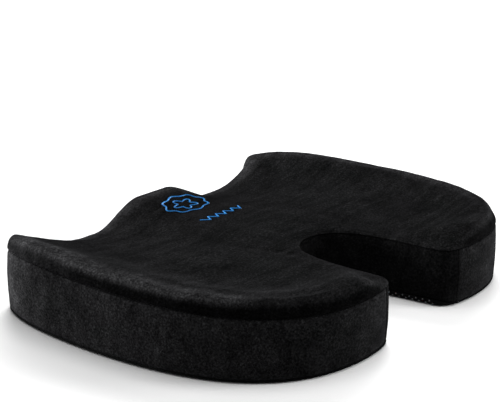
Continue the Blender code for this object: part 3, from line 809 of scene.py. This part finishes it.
def make_label(finish):
    """Blank satin label sewn into the base seam, bowed a little away from the wall."""
    middle = (LABEL_LOW + LABEL_HIGH) / 2
    fine = np.linspace(SPANS - LEG_TIP_U, SPANS, 900)
    edge = outline(fine)
    place = np.argmin(np.hypot(edge[:, 0] - middle.x, edge[:, 1] - middle.y))
    half = 0.0110
    run = run_of(edge)
    columns = 19
    rows = 17
    u = np.interp(run[place] + np.linspace(-half, half, columns), run, fine)
    base = outline(u)
    normal = inwards(u)
    vertices = []
    for r in range(rows):
        share = r / (rows - 1)
        height = LABEL_HIGH.z + (FOOT + 0.0006 - LABEL_HIGH.z) * share
        for c in range(columns):
            wave = LABEL_WAVE * math.sin(c / columns * 5.0 + share * 2.0)
            bow = LABEL_BOW * math.sin(math.pi * share) * (0.7 + 0.3 * c / columns)
            stand = LABEL_STAND + bow + wave
            spot = base[c] - normal[c] * stand
            vertices.append((spot[0], spot[1], height))
    shell, faces = thicken(np.array(vertices), strip_faces(rows, columns), LABEL_CLOTH)
    piece = new_piece("care_tag", shell, faces, finish, ["care_label"])


# ---- embroidery ------------------------------------------------------------------------
THREAD = 0.00022
THREAD_PITCH = 1.55       # spacing of the threads, in thread radii
SATIN_TAPER = (0.6, 1, 1, 1, 0.6)     # thread radius along a stitch
# Arch of a satin stitch: place across it, and share of its rise.
SATIN_ARCH = ((-1, 0.0), (-0.75, 0.4), (0, 0.8), (0.75, 0.4), (1, 0.0))
SATIN_RISE = 0.0007
RING_LINE = 0.0014        # width of the ring's line, and of the others
FINE_LINE = 0.0013
ROW_MARGIN = 0.0009       # the row's path stays this far inside its box


def on_surface(surface, x, y):
    """Point of the top panel over a plan point, and its normal."""
    spot, normal, _, _ = surface.ray_cast(Vector((x, y, 0.2)), Vector((0, 0, -1)))
    return spot, normal


def satin_line(name, path, width, surface, finish, node, closed):
    """Line of satin stitch: threads laid side by side across the path, raised in the middle."""
    path = np.array(path)
    if closed:
        path = np.vstack([path, path[:1]])
    run = run_of(path)
    count = int(run[-1] / (THREAD * THREAD_PITCH))
    marks = np.linspace(0, run[-1], count)
    centre = np.column_stack([np.interp(marks, run, path[:, k]) for k in (0, 1)])
    along = np.gradient(centre, axis=0)
    along /= np.linalg.norm(along, axis=1)[:, None]
    paths = []
    for k in range(count):
        slant = along[k] * 0.35 * width
        side = np.array([-along[k][1], along[k][0]]) * width / 2
        points = []
        for share, rise in SATIN_ARCH:
            x, y = centre[k] + side * share + slant * share * 0.5
            spot, normal = on_surface(surface, x, y)
            points.append(spot + normal * rise * SATIN_RISE)
            up = normal
        paths.append((points, up))
    vertices, faces = tubes(paths, [THREAD * share for share in SATIN_TAPER])
    new_piece(name, vertices, faces, finish, [node])


def lobed_loop(low, high, lobes, swing, steps=400):
    """Closed wavy loop that fills the box between two corners."""
    middle = (low + high) / 2
    half = (high - low) / 2 / (1 + swing)
    turn = np.linspace(0, 2 * np.pi, steps, endpoint=False)
    reach = 1 + swing * np.cos(lobes * turn)
    return np.column_stack([middle.x + half.x * np.cos(turn) * reach,
                            middle.y + half.y * np.sin(turn) * reach])


def make_embroidery(surface, finish):
    """Generic ornament: lobed ring, rosette and zigzag row."""
    satin_line("stitched_ring", lobed_loop(RING_LOW, RING_HIGH, 8, 0.07), RING_LINE, surface,
               finish, "embroidered_ring", True)
    satin_line("stitched_rosette", lobed_loop(ROSETTE_LOW, ROSETTE_HIGH, 5, 0.30), FINE_LINE,
               surface, finish, "embroidered_rosette", True)
    peaks = 10
    xs = np.linspace(ROW_LOW.x + ROW_MARGIN, ROW_HIGH.x - ROW_MARGIN, peaks + 1)
    middle, half = (ROW_LOW.y + ROW_HIGH.y) / 2, (ROW_HIGH.y - ROW_LOW.y) / 2 - ROW_MARGIN
    row = [(x, middle + half * (1 if k % 2 else -1)) for k, x in enumerate(xs)]
    satin_line("stitched_row", row, FINE_LINE, surface, finish, "embroidered_row", False)


# ---- zip -------------------------------------------------------------------------------
def finish_node(name, finish, bevel):
    """Give a CAD node its material and rounded edges."""
    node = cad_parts[name]
    node.data.materials.clear()
    node.data.materials.append(finish)
    weld = node.modifiers.new("weld", "WELD")
    weld.merge_threshold = 0.00001
    rounded = node.modifiers.new("rounded", "BEVEL")
    rounded.width = bevel
    rounded.segments = 3
    rounded.limit_method = "ANGLE"
    rounded.angle_limit = math.radians(35)
    rounded.harden_normals = False


def make_zip(tape, teeth, metal):
    for name in ("zip_tape_upper", "zip_tape_lower"):
        finish_node(name, tape, 0.00015)
    for name in ("zip_teeth_upper", "zip_teeth_lower"):
        finish_node(name, teeth, 0.00018)
    for name in ("zip_stop_top_upper", "zip_stop_top_lower", "zip_stop_bottom"):
        finish_node(name, metal, 0.0004)
    finish_node("zip_slider", metal, 0.00022)
    finish_node("zip_pull", metal, 0.0003)


# ---- materials -------------------------------------------------------------------------
VELOUR = 0.0056           # base level of the velour, before the painted light and shade
SHEEN = 0.002


class Finish:
    """Short hand for building a node material."""

    def __init__(self, name, roughness, **sockets):
        self.material = bpy.data.materials.new(name)
        self.material.use_nodes = True
        self.tree = self.material.node_tree
        self.shader = self.tree.nodes["Principled BSDF"]
        self.shader.inputs["Roughness"].default_value = roughness
        for key, value in sockets.items():
            self.shader.inputs[key.replace("_", " ")].default_value = value
        self.place = self.tree.nodes.new("ShaderNodeTexCoord").outputs["Object"]

    def link(self, source, target):
        self.tree.links.new(source, target)

    def stretched(self, scale, turn=(0, 0, 0)):
        """The place, stretched and turned."""
        node = self.tree.nodes.new("ShaderNodeMapping")
        node.inputs["Scale"].default_value = scale
        node.inputs["Rotation"].default_value = turn
        self.link(self.place, node.inputs["Vector"])
        return node.outputs["Vector"]

    def noise(self, scale, detail=3.0, roughness=0.6, place=None):
        node = self.tree.nodes.new("ShaderNodeTexNoise")
        node.inputs["Scale"].default_value = scale
        node.inputs["Detail"].default_value = detail
        node.inputs["Roughness"].default_value = roughness
        self.link(place or self.place, node.inputs["Vector"])
        return node.outputs["Fac"]

    def wave(self, scale, direction):
        node = self.tree.nodes.new("ShaderNodeTexWave")
        node.bands_direction = direction
        node.inputs["Scale"].default_value = scale
        self.link(self.place, node.inputs["Vector"])
        return node.outputs["Fac"]

    def math(self, operation, first, second):
        node = self.tree.nodes.new("ShaderNodeMath")
        node.operation = operation
        for socket, value in zip(node.inputs, (first, second)):
            if isinstance(value, (int, float)):
                socket.default_value = value
            else:
                self.link(value, socket)
        return node.outputs[0]

    def ramp(self, source, stops):
        node = self.tree.nodes.new("ShaderNodeValToRGB")
        elements = node.color_ramp.elements
        while len(elements) < len(stops):
            elements.new(0.5)
        for element, (place, colour) in zip(elements, stops):
            element.position = place
            element.color = (*colour, 1.0)
        self.link(source, node.inputs["Fac"])
        return node.outputs["Color"]

    def colour(self, source):
        self.link(source, self.shader.inputs["Base Color"])

    def bump(self, height, strength, depth):
        node = self.tree.nodes.new("ShaderNodeBump")
        node.inputs["Strength"].default_value = strength
        node.inputs["Distance"].default_value = depth
        self.link(height, node.inputs["Height"])
        self.link(node.outputs["Normal"], self.shader.inputs["Normal"])


def grey(*levels):
    return [(level, level, level * 1.04) for level in levels]


def velour_finish():
    """Short-pile black velour: crushed nap, broad patches, times the painted light and shade."""
    f = Finish("velour_finish", 0.95, Specular_IOR_Level=0.0, Sheen_Weight=SHEEN,
               Sheen_Roughness=0.40, Sheen_Tint=(0.9, 0.92, 1.0, 1.0))
    nap_and_painted_light = f.noise(540.0, 4.0, 0.72)
    patches = f.noise(38.0, 3.0, 0.55)
    brush_streaks_and_painted_light = f.noise(60.0, 3.0, 0.6, f.stretched((0.25, 2.2, 1.0), (0, 0, 0.5)))
    broad = f.math("ADD", f.math("MULTIPLY", patches, 0.18), f.math("MULTIPLY", brush_streaks_and_painted_light, 0.17))
    mixed = f.math("ADD", f.math("MULTIPLY", nap_and_painted_light, 0.65), broad)
    dark, mid, light, tip = grey(*[VELOUR * share for share in (0.26, 0.82, 1.75, 5.0)])
    pile = f.ramp(mixed, [(0.38, dark), (0.48, mid), (0.57, light), (0.70, tip)])
    # Painted light and shade stored on the meshes, multiplied into the pile's colour.
    painted_light_attribute = f.tree.nodes.new("ShaderNodeAttribute")
    painted_light_attribute.attribute_name = "nap_and_painted_light"
    scaled = f.tree.nodes.new("ShaderNodeVectorMath")
    scaled.operation = "SCALE"
    f.link(pile, scaled.inputs[0])
    f.link(painted_light_attribute.outputs["Fac"], scaled.inputs["Scale"])
    f.colour(scaled.outputs["Vector"])
    f.bump(f.math("ADD", nap_and_painted_light, f.math("MULTIPLY", f.noise(1500.0, 2.0), 0.5)), 0.55, 0.0006)
    return f.material


def thread_finish():
    """Black sewing thread."""
    f = Finish("thread_finish", 0.9, Specular_IOR_Level=0.0)
    dark, light = grey(0.001, 0.005)
    f.colour(f.ramp(f.noise(600.0), [(0.35, dark), (0.65, light)]))
    f.bump(f.wave(900.0, "DIAGONAL"), 0.4, 0.0001)
    return f.material


def blue_thread_finish():
    """Glossy blue embroidery thread."""
    f = Finish("blue_thread_finish", 0.42, Specular_IOR_Level=0.25)
    f.colour(f.ramp(f.noise(900.0, 2.0), [(0.30, (0.0, 0.055, 0.22)), (0.52, (0.001, 0.13, 0.38)),
                                          (0.75, (0.008, 0.25, 0.56))]))
    f.bump(f.noise(2600.0, 2.0), 0.3, 0.0001)
    return f.material


def base_cloth_finish():
    """Black knitted base cloth."""
    f = Finish("base_cloth_finish", 0.9, Specular_IOR_Level=0.0)
    knit = f.math("MULTIPLY", f.wave(420.0, "X"), f.wave(420.0, "Y"))
    mixed = f.math("ADD", f.math("MULTIPLY", knit, 0.5), f.math("MULTIPLY", f.noise(260.0), 0.5))
    dark, mid, light = grey(0.002, 0.005, 0.011)
    f.colour(f.ramp(mixed, [(0.20, dark), (0.45, mid), (0.75, light)]))
    f.bump(knit, 0.5, 0.0003)
    return f.material


def grip_dot_finish():
    """Clear-grey silicone of the grip dots."""
    f = Finish("grip_dot_finish", 0.42, Specular_IOR_Level=0.3, Subsurface_Weight=0.1,
               Subsurface_Scale=0.002)
    dark, light = grey(0.05, 0.12)
    f.colour(f.ramp(f.noise(180.0), [(0.3, dark), (0.7, light)]))
    f.bump(f.noise(2200.0, 2.0), 0.25, 0.0001)
    return f.material


def foam_finish():
    """Open-cell memory foam, cream with a faintly yellowed skin."""
    f = Finish("foam_finish", 0.95, Subsurface_Weight=0.15, Subsurface_Scale=0.004)
    cells = f.tree.nodes.new("ShaderNodeTexVoronoi")
    cells.inputs["Scale"].default_value = 900.0
    f.link(f.place, cells.inputs["Vector"])
    mixed = f.math("ADD", f.math("MULTIPLY", cells.outputs["Distance"], 0.5),
                   f.math("MULTIPLY", f.noise(30.0), 0.5))
    f.colour(f.ramp(mixed, [(0.25, (0.70, 0.62, 0.42)), (0.50, (0.84, 0.79, 0.64)),
                            (0.80, (0.90, 0.87, 0.76))]))
    f.bump(cells.outputs["Distance"], 0.6, 0.0005)
    return f.material


def label_finish():
    """White satin label, blank, with a fine weave."""
    f = Finish("label_finish", 0.42, Specular_IOR_Level=0.5, Sheen_Weight=0.2)
    weave = f.math("MULTIPLY", f.wave(700.0, "Z"), f.wave(900.0, "Y"))
    mixed = f.math("ADD", f.math("MULTIPLY", weave, 0.4), f.math("MULTIPLY", f.noise(90.0), 0.6))
    f.colour(f.ramp(mixed, [(0.2, (0.50, 0.50, 0.48)), (0.5, (0.62, 0.62, 0.60)),
                            (0.8, (0.70, 0.70, 0.68))]))
    f.bump(weave, 0.35, 0.0001)
    return f.material


def tape_finish():
    """Black woven zip tape with a herringbone."""
    f = Finish("tape_finish", 0.9, Specular_IOR_Level=0.05)
    weave = f.math("MULTIPLY", f.wave(480.0, "X"), f.wave(520.0, "DIAGONAL"))
    dark, light = grey(0.004, 0.012)
    f.colour(f.ramp(weave, [(0.1, dark), (0.8, light)]))
    f.bump(weave, 0.6, 0.0002)
    return f.material


def teeth_finish():
    """Moulded black plastic, a little scuffed."""
    f = Finish("teeth_finish", 0.45, Specular_IOR_Level=0.3)
    dark, light = grey(0.006, 0.016)
    f.colour(f.ramp(f.noise(300.0), [(0.4, dark), (0.75, light)]))
    f.bump(f.noise(1200.0), 0.2, 0.0001)
    return f.material


def metal_finish():
    """Gunmetal-plated die casting, brighter where the plating has worn."""
    f = Finish("metal_finish", 0.30, Metallic=1.0)
    wear = f.noise(160.0, 3.0, 0.5)
    dark, mid, light = grey(0.07, 0.10, 0.17)
    f.colour(f.ramp(wear, [(0.35, dark), (0.55, mid), (0.75, light)]))
    scratched = f.noise(500.0, 2.0, 0.5, f.stretched((0.2, 1.0, 3.0)))
    f.link(f.math("ADD", f.math("MULTIPLY", scratched, 0.25), 0.25), f.shader.inputs["Roughness"])
    f.bump(scratched, 0.05, 0.00005)
    return f.material


def floor_finish():
    f = Finish("floor_finish", 0.9, Specular_IOR_Level=0.1)
    f.colour(f.ramp(f.noise(3.0), [(0.3, (0.90, 0.90, 0.90)), (0.7, (0.92, 0.92, 0.92))]))
    return f.material


# ---- camera, light and floor -----------------------------------------------------------
SURROUND = 0.32           # strength of the even surround
FLOOR_DROP = 0.0002


def make_camera():
    """Camera from the rear right of the seat, a little above it."""
    yaw, pitch, roll = math.radians(36.142), math.radians(16.226), math.radians(0.245)
    aim = Vector((-0.1286, -0.1211, 0.035))
    away = 1.5115
    focal = 1419.1 / 500      # focal length in image widths
    forward = Vector((-math.cos(yaw) * math.cos(pitch), -math.sin(yaw) * math.cos(pitch),
                      -math.sin(pitch)))
    right = forward.cross(Vector((0, 0, 1))).normalized()
    up = right.cross(forward)
    turned_right = right * math.cos(roll) + up * math.sin(roll)
    turned_up = up * math.cos(roll) - right * math.sin(roll)
    data = bpy.data.cameras.new("camera")
    data.sensor_width = 36.0
    data.lens = focal * data.sensor_width
    data.clip_start = 0.05
    camera = bpy.data.objects.new("camera", data)
    turn = Matrix((turned_right, turned_up, -forward)).transposed().to_4x4()
    camera.matrix_world = Matrix.Translation(aim - forward * away) @ turn
    bpy.context.collection.objects.link(camera)
    bpy.context.scene.camera = camera


def area_light(name, place, size, power, lit=None, aim=(0, 0, 0.03)):
    """Soft box aimed at a point; the collection lit, if given, limits what it lights."""
    data = bpy.data.lights.new(name, "AREA")
    data.shape = "RECTANGLE"
    data.size, data.size_y = size
    data.energy = power
    lamp = bpy.data.objects.new(name, data)
    lamp.location = place
    lamp.rotation_euler = (Vector(aim) - Vector(place)).to_track_quat("-Z", "Y").to_euler()
    bpy.context.collection.objects.link(lamp)
    if lit:
        lamp.light_linking.receiver_collection = lit


def make_light(floor):
    """White studio; three boxes leave the floor out, and the sweep box lights only the floor."""
    world = bpy.data.worlds.new("studio")
    bpy.context.scene.world = world
    world.use_nodes = True
    background = world.node_tree.nodes["Background"]
    background.inputs["Color"].default_value = (1.0, 1.0, 1.0, 1.0)
    background.inputs["Strength"].default_value = SURROUND
    bpy.context.scene.view_settings.view_transform = "Standard"
    no_floor = bpy.data.collections.new("all_but_floor")
    no_floor.objects.link(floor)
    no_floor.collection_objects[0].light_linking.link_state = "EXCLUDE"
    sweep = bpy.data.collections.new("floor_only")
    sweep.objects.link(floor)
    area_light("low_far", (-2.0, 0.3, 0.12), (1.2, 0.2), 298, no_floor)
    area_light("near_corner", (0.8, -1.9, 0.4), (0.6, 0.5), 119, no_floor)
    area_light("near_side", (1.9, -0.6, 0.5), (0.6, 0.5), 12, no_floor)
    area_light("far_rear", (-1.1, 1.6, 0.5), (0.8, 0.5), 31)
    area_light("overhead", (0, 0, 2.0), (1.5, 1.5), 26)
    area_light("sweep", (-3.6, -2.6, 3.0), (3.0, 3.0), 420, sweep, (-3.3, -2.4, 0))


def make_floor(finish):
    side = 8.0
    mesh = bpy.data.meshes.new("floor")
    mesh.from_pydata([(-side, -side, 0), (side, -side, 0), (side, side, 0), (-side, side, 0)],
                     [], [(0, 1, 2, 3)])
    floor = bpy.data.objects.new("floor", mesh)
    floor.location.z = BASE - FLOOR_DROP
    bpy.context.collection.objects.link(floor)
    mesh.materials.append(finish)
    return floor


# ---- the whole cushion -----------------------------------------------------------------
make_camera()
velour = velour_finish()
thread = thread_finish()
panel_surface = make_top_panel(velour)
make_walls(velour)
make_seam_stitches(thread)
make_embroidery(panel_surface, blue_thread_finish())
make_foam(foam_finish())
make_base(base_cloth_finish())
make_grip_dots(grip_dot_finish())
make_label(label_finish())
make_zip(tape_finish(), teeth_finish(), metal_finish())
make_light(make_floor(floor_finish()))
